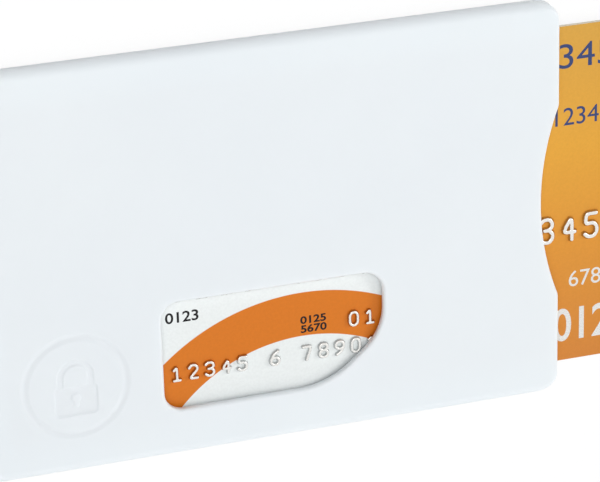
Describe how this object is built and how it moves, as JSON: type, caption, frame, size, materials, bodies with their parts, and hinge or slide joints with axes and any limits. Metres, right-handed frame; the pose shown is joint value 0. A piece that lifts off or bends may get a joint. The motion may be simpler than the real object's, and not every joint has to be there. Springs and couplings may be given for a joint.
{
  "type": "rfid card sleeve",
  "caption": "Flat rigid sleeve lined with metal shields, with a thumb window and a notched mouth, holding a sliding card that stands part way out.",
  "frame": {"origin": "centre of the sleeve's flat back face", "axes": "+X along the sleeve and out of its mouth, +Y across it towards the long side away from the thumb window, +Z out of the front face"},
  "size_m": [0.1061, 0.063, 0.0032],
  "materials": {
    "sleeve_plastic": "smooth moulded, satin gloss",
    "shield_metal": "rolled foil, satin",
    "card_front_print": "printed and laminated, gloss",
    "card_back_print": "printed and laminated, gloss",
    "contact_metal": "gold-plated contact pads",
    "capsule_resin": "cast resin",
    "coil_copper": "etched copper track",
    "stripe_coating": "magnetic coating, satin",
    "panel_coating": "matt writing surface",
    "raised_digits": "raised, tipped"
  },
  "bodies": {
    "sleeve": {"front_shell": "sleeve_plastic", "back_shell": "sleeve_plastic", "front_shield": "shield_metal", "back_shield": "shield_metal"},
    "card": {"card_front_sheet": "card_front_print", "card_back_sheet": "card_back_print", "contact_plate": "contact_metal", "chip_capsule": "capsule_resin", "antenna_coil": "coil_copper", "magnetic_stripe": "stripe_coating", "signature_panel": "panel_coating", "raised_number": "raised_digits", "raised_rows": "raised_digits"}
  },
  "joints": [
    {"name": "card_slide", "type": "slide", "parent": "sleeve", "child": "card", "axis": [1, 0, 0], "range_m": [-0.01555, 0.07045]}
  ]
}
